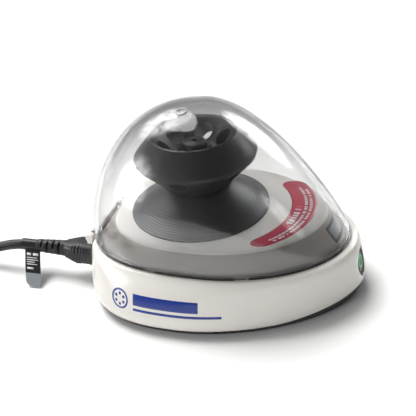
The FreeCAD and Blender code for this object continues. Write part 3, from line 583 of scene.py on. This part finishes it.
def tagMarks(s):
    # rows of short printed bars across the upper leaf, longer and shorter in turn
    lean = math.radians(s["lean"])
    patches = []
    for i, (at, start, end, width) in enumerate(s["bars"]):
        along = np.array([at, at + width])
        curl = s["curl"] * np.sin(np.pi * along / s["leaf"]) + s["thickness"] / 2 + 0.04
        y = s["y"] - s["hang"][0] - along * math.sin(lean) - curl * math.cos(lean)
        z = s["z"] - s["hang"][1] - along * math.cos(lean) + curl * math.sin(lean)
        x = s["leafX"] + s["skew"] * along[:, None] + np.array([start, end])[None, :]
        points = np.stack(np.broadcast_arrays(x, y[:, None], z[:, None]), -1)
        patches.append(gridMesh("tagMark%d" % i, points[::-1], closeRound=False))
    return asFilm(linkPiece("tagMarks", joinMeshes("tagMarks", patches), tagInk, "root"), 0.03)


strap = {"height": 6.0, "halfAcross": 12.6, "halfHigh": 6.6, "power": 5, "thickness": 0.7, "halfWidth": 4.0,
         "ease": 0.4, "turn": 0.6}


def coilTie(s, coil):
    # flat strap round the coil's bundle: a rounded rectangle of sections, across the turns on the far side
    turn = np.linspace(0, 2 * np.pi, 64, endpoint=False)
    c, q = np.cos(turn), np.sin(turn)
    spread = np.abs(c / s["halfAcross"]) ** s["power"] + np.abs(q / s["halfHigh"]) ** s["power"]
    radius = spread ** (-1 / s["power"])
    edge, thick = s["halfWidth"], s["thickness"]
    flat = edge - s["ease"]
    shell = []
    for extra, side in ((0.0, -edge), (thick, -flat), (thick, flat), (0.0, edge), (0.0, -edge)):
        away = coil["coilMiddle"] + (radius + extra) * c
        x = coil["coilCentre"][0] - away * math.cos(s["turn"]) - side * math.sin(s["turn"])
        y = coil["coilCentre"][1] - away * math.sin(s["turn"]) + side * math.cos(s["turn"])
        z = np.maximum(s["height"] + (radius + extra) * q, 0.05)
        shell.append(np.stack([x, y, z], -1))
    mesh = gridMesh("coilTie", np.array(shell))
    build = bmesh.new()
    build.from_mesh(mesh)
    bmesh.ops.recalc_face_normals(build, faces=build.faces)
    build.to_mesh(mesh)
    build.free()
    return linkPiece("coilTie", mesh, gasketRubber, "root")


makeConnector(connector)
makeRelief("leadRelief", connector["face"] - connector["length"], connector["y"], connector["z"],
           "strain_relief", relief)
plugRelief = makeRelief("plugRelief", plug["root"], plug["y"], plug["z"], "plug_relief", relief)
mainsPlug = makePlug(plug)
plugBlades = mergedCopy("plugBlades", "plug_prongs", nickelPlate, bevel=0.25)
tagFlag, tagFoot = makeTag(tag)
tagPrint = tagMarks(tag)
tie = coilTie(strap, lead)
print("mains lead made")

lidOutline = (-2.0, -75.2, 68.7, 50.5, 2.5, 2.0)
dome = {"foot": 33.6, "top": 108.5, "peakX": -12.0, "wall": 2.5, "rows": 64, "columns": 192,
        "rear": (2.0, 2.0), "front": (1.05, 1.7), "side": (2.0, 2.0),
        "rim": ((0.08, 0.35), (0.3, 0.5), (0.7, 0.5), (0.92, 0.35))}


def domeSurface(s, inset, outwards=True):
    # outline that closes in to the peak: each side's reach is (1 - share^p)^(1/q) of what it is at the foot
    wideX, rear, front, half, rearPower, frontPower = lidOutline
    share = np.sin(np.linspace(0, np.pi / 2, s["rows"]))[:, None]
    closing = {k: np.maximum(1 - share ** s[k][0], 0) ** (1 / s[k][1]) for k in ("rear", "front", "side")}
    tiny = 1e-4
    rearAt = s["peakX"] - (s["peakX"] - rear - inset) * closing["rear"] - tiny
    frontAt = s["peakX"] + (front - inset - s["peakX"]) * closing["front"] + tiny
    wideAt = s["peakX"] + (wideX - s["peakX"]) * closing["rear"]
    halfAt = (half - inset) * closing["side"] + tiny
    angle = np.linspace(0, 2 * np.pi, s["columns"], endpoint=False)[None, :]
    z = s["foot"] + (s["top"] - inset - s["foot"]) * share
    outline = (wideAt, rearAt, frontAt, halfAt, rearPower + (2 - rearPower) * share, frontPower)
    points = outlinePoints(outline, z, angle)
    points[-1] = (s["peakX"], 0.0, s["top"] - inset)
    return points if outwards else points[::-1]


def alongOutline(name, outline, angles, outer, inner, low, high, ease=0.25):
    # bar that follows an outline between two angles: a bevelled box section, closed at both ends
    ring = [(inner, low), (outer + ease, low), (outer, low + ease), (outer, high - ease),
            (outer + ease, high), (inner, high)]
    loops = np.stack([outlinePoints(outline, z, angles, inset) for inset, z in ring], 1)
    first, last = (loop.mean(1, keepdims=True) + 0 * loop for loop in (loops[:1], loops[-1:]))
    return gridMesh(name, np.concatenate([first, loops, last])[::-1])


def angleAtX(outline, x, side):
    # angle on an outline at which it passes a given x, found on a fine table
    table = np.linspace(0.02, np.pi - 0.02, 3000)
    points = outlinePoints(outline, 0.0, table)
    return side * float(np.interp(-x, -points[:, 0], table))


def angleAtY(outline, y):
    # angle near the nose at which an outline passes a given y
    table = np.linspace(-1.2, 1.2, 2000)
    return float(np.interp(y, outlinePoints(outline, 0.0, table)[:, 1], table))


# rest pads under the rim: how far in from the outline, how low and high, then the front pad's half length
# and each side pad's middle
rests = {"inset": (0.35, 2.15), "height": (32.3, 33.4), "front": 10.0, "side": 3.3, "sideAt": (-29.0, 21.0)}
knuckle = {"radius": 2.2, "bore": 1.05, "x": -74.3, "z": 32.4, "ease": 0.4,
           "ends": ((-20.0, -12.0), (12.0, 20.0))}


def lyingBarrel(s, y0, y1):
    # knuckle: a short tube along Y with rounded ends
    radius, bore, ease = s["radius"], s["bore"], s["ease"]
    profile = np.array([(bore, y0), (radius - ease, y0), (radius, y0 + ease), (radius, y1 - ease),
                        (radius - ease, y1), (bore, y1), (bore, y0)])
    angle = np.linspace(0, 2 * np.pi, 48, endpoint=False)[None, :]
    r, y = profile[:, :1], profile[:, 1:]
    barrel = np.stack([s["x"] + r * np.sin(angle), y + 0 * angle, s["z"] + r * np.cos(angle)], -1)
    return gridMesh("knuckle", barrel)


def restPads(s):
    # one pad at the nose, and two on either flank
    spans = [([angleAtY(lidOutline, y) for y in (-s["front"], s["front"])], 12)]
    for x in s["sideAt"]:
        for side in (-1, 1):
            spans.append((sorted(angleAtX(lidOutline, x + d, side) for d in (-s["side"], s["side"])), 6))
    return [alongOutline("restPad", lidOutline, np.linspace(*ends, count), *s["inset"], *s["height"])
            for ends, count in spans]


def makeLid(s):
    # outer wall, inner wall and a foot rim rounded between them, with the pads and knuckles joined on
    outer = domeSurface(s, 0.0)
    inner = domeSurface(s, s["wall"], outwards=False)
    foot = np.stack([outer[0] * (1 - t) + inner[-1] * t - [0, 0, drop] for t, drop in s["rim"]])[::-1]
    shell = gridMesh("clearDome", np.concatenate([outer, inner, foot]), closeUp=True, smoothAngle=60)
    barrels = [lyingBarrel(knuckle, *ends) for ends in knuckle["ends"]]
    mesh = joinMeshes("clearDome", [shell] + restPads(rests) + barrels, smoothAngle=60)
    return linkPiece("clearDome", mesh, clearLid, "lid", ["lid"])


makeLid(dome)


gate = {"x": -15.5, "y": -9.5, "radius": 0.2, "profile": [(0.0, -0.6), (3.4, -0.4), (3.2, 0.1), (2.6, 0.3),
                                                          (1.9, 0.25), (1.5, -0.2), (0.8, 0.0), (0.0, 0.05)]}


def gateMark(s, lid):
    # moulding gate near the dome's peak: a small ring with a dimple, turned about the surface's own normal
    surface = domeSurface(lid, 0.0)[2:-2]
    away = np.hypot(surface[..., 0] - s["x"], surface[..., 1] - s["y"])
    row, column = np.unravel_index(away.argmin(), away.shape)
    across = surface[row, (column + 1) % lid["columns"]] - surface[row, column - 1]
    normal = np.cross(across, surface[row + 1, column] - surface[row - 1, column])
    normal /= np.linalg.norm(normal)
    side = np.cross([0.0, 1.0, 0.0], normal)
    side /= np.linalg.norm(side)
    ring = turnedPoints(roundedProfile(s["profile"], s["radius"]), 0.0, 48)
    placed = surface[row, column] + ring @ np.array([side, np.cross(normal, side), normal])
    return linkPiece("gateRing", gridMesh("gateRing", placed), clearLid, "lid")


gateMark(gate, dome)
print("clear lid made")

housing = mergedCopy("baseHousing", "base_shell", whiteAbs)
mergedCopy("deckPanel", "deck", deckAbs)
mergedCopy("baseTray", "bottom_plate", blackAbs)
mergedCopy("sealStrip", "rim_gasket", gasketRubber)
mergedCopy("buttonCollar", "button_collar", blackAbs, bevel=0.2)
mergedCopy("powerCap", "power_button", buttonAbs)
mergedCopy("catchBezel", "latch_bezel", blackAbs)
mergedCopy("catchBlock", "latch_catch", catchAcetal, bevel=0.35)
mergedCopy("rotorBody", "rotor", rotorFinish)
mergedCopy("rotorNut", "rotor_cap", rotorFinish)
mergedCopy("inletShroud", "mains_inlet", blackAbs, bevel=0.2)

pedestal = {"foot": [(36.2, 46.0), (38.0, 46.0), (38.0, 47.2)],
            "top": [(18.5, 59.9), (17.5, 60.3), (3.2, 60.3), (2.6, 59.9), (2.6, 57.8)],
            "steps": 7, "stepHeight": 0.13, "stepped": (0.02, 0.42)}


def makePedestal(s):
    # cone with shallow turned steps low on its flank: the straight line from foot to neck, less a saw tooth
    (r0, z0), (r1, z1) = s["foot"][-1], s["top"][0]
    share = np.linspace(*s["stepped"], s["steps"] * 3)
    tooth = s["stepHeight"] * ((np.arange(len(share)) % 3) == 1)
    flank = np.stack([r0 + (r1 - r0) * share - 0.5 * tooth, z0 + (z1 - z0) * share - 0.8 * tooth], -1)
    profile = roundedProfile(np.concatenate([s["foot"], flank, s["top"]]), 0.35, 3)
    mesh = gridMesh("pedestalCone", turnedPoints(profile, rotorX, 180), closeUp=True, smoothAngle=30)
    return linkPiece("pedestalCone", mesh, pedestalFinish, "root", ["pedestal_cover"])


makePedestal(pedestal)

# arcs are centre x, centre y and radius; each row is its low and high edge, start and end, bar and gap
label = {"inner": (-5.3, 0.0, 41.4), "outer": (3.0, 2.6, 46.4), "innerAngles": (-51.0, 47.0),
         "outerAngles": (-59.0, 46.0), "height": 46.0, "thickness": 0.09, "inkRise": 0.03,
         "rows": ((0.72, 0.83, 0.13, 0.86, 0.020, 0.006), (0.52, 0.64, 0.12, 0.88, 0.022, 0.006),
                  (0.18, 0.42, 0.36, 0.60, 0.022, 0.010))}


def labelPoint(s, along, across):
    # between two arcs: along runs from one end of the label to the other, across from inner to outer edge
    arcs = []
    for edge, ends in (("inner", "innerAngles"), ("outer", "outerAngles")):
        x, y, r = s[edge]
        angle = np.radians(s[ends][0] + (s[ends][1] - s[ends][0]) * along)
        arcs.append(np.stack([x + r * np.cos(angle), y + r * np.sin(angle)], -1))
    return arcs[0] * (1 - across[..., None]) + arcs[1] * across[..., None]


def labelPatch(name, s, start, end, low, high, raised, ends=0.0, columns=6):
    # thin raised patch on the label's own coordinates; ends > 0 rounds both ends like a stadium
    along, across = np.meshgrid(np.linspace(0, 1, columns), np.linspace(0, 1, 9), indexing="ij")
    middle = across * 2 - 1
    reach = ends * (1 - np.sqrt(np.maximum(1 - middle ** 2, 0)))
    u = (start + reach) + (end - start - 2 * reach) * along
    v = low + (high - low) * across
    flat = labelPoint(s, u, v)
    top = np.concatenate([flat, np.full(flat.shape[:2] + (1,), s["height"] + raised)], -1)
    return gridMesh(name, top, closeRound=False)


def makeLabel(s):
    # the red label itself, then rows of plain bars of uneven length
    face = labelPatch("noticeLabel", s, 0.0, 1.0, 0.0, 1.0, s["thickness"], ends=0.06, columns=90)
    asFilm(linkPiece("noticeLabel", face, labelVinyl, "root"), 0.08)
    random = np.random.default_rng(7)
    marks = []
    rise = s["thickness"] + s["inkRise"]
    for low, high, start, end, dash, gap in s["rows"]:
        at = start
        while at < end:
            wide = dash * (0.55 + 0.9 * random.random())
            marks.append(labelPatch("bar", s, at, min(at + wide, end), low, high, rise, columns=3))
            at += wide + gap * (1 + 2.2 * (random.random() > 0.8))
    asFilm(linkPiece("noticeBars", joinMeshes("noticeBars", marks), labelInk, "root"), 0.05)


makeLabel(label)

badge = {"z": 18.0, "height": 10.5, "left": -50.0, "right": 12.0, "startY": -64.0, "tubes": 6,
         "tubeRadius": 0.8, "tubeAt": 0.52, "ringWidth": 1.0, "gap": 3.0, "short": 12.0}


def badgeBar(s, x1, z0, z1):
    # upright patch just outside the base's flank; the wrap below lays it on the wall
    x0 = s["left"] + s["height"] + s["gap"]
    columns = np.linspace(x0, x1, max(3, int((x1 - x0) * 1.5)))
    x, z = np.meshgrid(columns, np.linspace(z0, z1, 7), indexing="xy")
    return gridMesh("badgeBar", np.stack([x, np.full_like(x, s["startY"]), z], -1), closeRound=False)


def badgeDisc(s, x, z, inner, outer, count=48):
    # flat ring or disc between two radii, on the same upright plane
    angle = np.linspace(0, 2 * np.pi, count, endpoint=False)[None, :]
    r = np.linspace(outer, inner, 5)[:, None]
    disc = np.stack([x + r * np.cos(angle), s["startY"] + 0 * r * angle, z + r * np.sin(angle)], -1)
    return gridMesh("badgeDisc", disc)


def makeBadge(s):
    # plain blue graphic: a ring of six tube dots, then a thick and a thin bar
    middle, half = s["z"], s["height"] / 2
    x = s["left"] + half
    parts = [badgeDisc(s, x, middle, half - s["ringWidth"], half)]
    for i in range(s["tubes"]):
        turn, away = 2 * math.pi * (i + 0.5) / s["tubes"], s["tubeAt"] * half
        parts.append(badgeDisc(s, x + away * math.cos(turn), middle + away * math.sin(turn), 0.0,
                               s["tubeRadius"], 20))
    parts.append(badgeBar(s, s["right"] - s["short"], middle - 1.4, middle + half - 0.8))
    parts.append(badgeBar(s, s["right"], middle - half + 0.8, middle - 3.0))
    piece = linkPiece("sideBadge", joinMeshes("sideBadge", parts), badgeInk, "root")
    wrap = piece.modifiers.new("layOn", "SHRINKWRAP")
    wrap.target, wrap.wrap_method, wrap.offset = housing, "PROJECT", 0.05 * mm
    wrap.use_project_y, wrap.use_positive_direction, wrap.use_negative_direction = True, True, False
    wrap.wrap_mode = "ABOVE_SURFACE"
    return asFilm(piece, 0.04)


makeBadge(badge)
print("base and deck made")

# nodes that keep their own mesh and only get a finish
finishes = {"rubber_feet": gasketRubber, "case_screws": screwSteel, "hinge_pin": pinSteel,
            "motor_can": screwSteel, "motor_endcap": nylonCap, "motor_magnets": ferriteBlock,
            "motor_bearings": bronzeBush, "motor_armature": laminatedIron, "motor_shaft": pinSteel,
            "motor_bracket": screwSteel, "bracket_screws": screwSteel, "power_symbol": symbolGlow,
            "switch_body": blackAbs, "latch_guide": blackAbs, "control_board": boardGlass,
            "board_components": partsEpoxy, "inlet_pins": nickelPlate}
for name, material in finishes.items():
    nodes[name].data.materials[0] = material
print("finishes set on", len(finishes), "nodes")

# the sky's two strengths are for its low and high end; the sun is its place, strength and angle; the window
# is its place, aim, size and power
studio = {"floor": "F3F3F2", "floorSize": 24000.0, "sky": (0.62, 0.34), "backdrop": 0.95,
          "sun": ((-330.0, 210.0, 760.0), 3.5, 34.0), "darkSide": (0.62, -0.75, 0.2),
          "window": ((-300.0, -620.0, 330.0), (-20.0, 0.0, 40.0), 260.0, 1.6),
          # each glow: direction, angles in degrees where it is full and where it ends, strength
          "glows": (((0.40, 0.81, 0.42), 4.0, 17.0, 15.0), ((-0.62, 0.30, 0.72), 10.0, 24.0, 8.0),
                    ((-0.86, -0.36, 0.20), 4.0, 22.0, 9.0), ((0.92, -0.17, 0.35), 2.0, 12.0, 4.0))}


def addLight(name, kind, place, aim, power, **settings):
    # lights shine on surfaces but aren't mirrored in them; the sky's soft windows are
    lamp = bpy.data.lights.new(name, kind)
    lamp.energy = power
    for key, value in settings.items():
        setattr(lamp, key, value)
    light = bpy.data.objects.new(name, lamp)
    light.location = Vector(place) * mm
    light.rotation_mode = "QUATERNION"
    light.rotation_quaternion = (Vector(aim) - Vector(place)).to_track_quat("-Z", "Y")
    light.visible_glossy = False
    scene.collection.objects.link(light)
    return light


def makeStudio(s):
    # pale floor, a wide soft sun from behind and a window on the left
    half = s["floorSize"] / 2
    corners = np.array([[(-half, -half, 0.0), (half, -half, 0.0)], [(-half, half, 0.0), (half, half, 0.0)]])
    floor = bpy.data.objects.new("floor", gridMesh("floor", corners, closeRound=False))
    scene.collection.objects.link(floor)
    floor.data.materials.append(moulded("paintedFloor", s["floor"], 0.55, grain=3.0, depth=0.002,
                                        patch=400.0, wear=0.03, shade=0.01))
    place, strength, spread = s["sun"]
    addLight("softSun", "SUN", place, (0.0, 0.0, 0.0), strength, angle=math.radians(spread))
    place, aim, size, power = s["window"]
    addLight("leftWindow", "AREA", place, aim, power, size=size * mm).visible_transmission = False
    makeSky(s)


def makeSky(s):
    # level sky plus soft windows: each is a smooth step of the cosine to its direction, seen by
    # reflections only
    world = bpy.data.worlds.new("studio")
    world.use_nodes = True
    scene.world = world
    tree = world.node_tree
    sky = tree.nodes["Background"]
    place = addNode(tree, "ShaderNodeTexCoord").outputs["Generated"]
    split = addNode(tree, "ShaderNodeSeparateXYZ", None, None, {"Vector": place})
    low, high = s["sky"]
    level = addNode(tree, "ShaderNodeMapRange", None, {"To Min": low, "To Max": high},
                    {"Value": split.outputs["Z"]})
    aside = addNode(tree, "ShaderNodeVectorMath", {"operation": "DOT_PRODUCT"}, {1: s["darkSide"]},
                    {0: place})
    dimmed = addNode(tree, "ShaderNodeMapRange", None,
                     {"From Min": -0.2, "From Max": 0.9, "To Min": 1.0, "To Max": 0.1},
                     {"Value": aside.outputs["Value"]})
    level = addNode(tree, "ShaderNodeMath", {"operation": "MULTIPLY"}, None,
                    {0: level.outputs["Result"], 1: dimmed.outputs["Result"]})
    patches = addNode(tree, "ShaderNodeTexNoise", None, {"Scale": 5.0, "Detail": 3.0, "Distortion": 1.5},
                      {"Vector": place})
    uneven = addNode(tree, "ShaderNodeMapRange", None, {"From Min": 0.38, "From Max": 0.6, "To Min": 0.25},
                     {"Value": patches.outputs["Fac"]})
    total = None
    for direction, full, end, strength in s["glows"]:
        near = addNode(tree, "ShaderNodeVectorMath", {"operation": "DOT_PRODUCT"},
                       {1: Vector(direction).normalized()}, {0: place})
        step = addNode(tree, "ShaderNodeMapRange", {"interpolation_type": "SMOOTHSTEP"},
                       {"From Min": math.cos(math.radians(end)), "From Max": math.cos(math.radians(full)),
                        "To Max": strength}, {"Value": near.outputs["Value"]})
        total = step.outputs[0] if total is None else addNode(
            tree, "ShaderNodeMath", {"operation": "ADD"}, None, {0: total, 1: step.outputs[0]}).outputs[0]
    broken = addNode(tree, "ShaderNodeMath", {"operation": "MULTIPLY"}, None,
                     {0: total, 1: uneven.outputs[0]})
    rays = addNode(tree, "ShaderNodeLightPath")
    seen = addNode(tree, "ShaderNodeMath", {"operation": "MULTIPLY"}, None,
                   {0: broken.outputs[0], 1: rays.outputs["Is Glossy Ray"]})
    whole = addNode(tree, "ShaderNodeMath", {"operation": "ADD"}, None,
                    {0: seen.outputs[0], 1: level.outputs[0]})
    # the backdrop itself is as pale as the floor
    shown = addNode(tree, "ShaderNodeMix", None, {"B": s["backdrop"]},
                    {"Factor": rays.outputs["Is Camera Ray"], "A": whole.outputs[0]})
    tree.links.new(shown.outputs["Result"], sky.inputs["Strength"])
    sky.inputs["Color"].default_value = srgb("FBFBFC")


makeStudio(studio)
print("studio made")
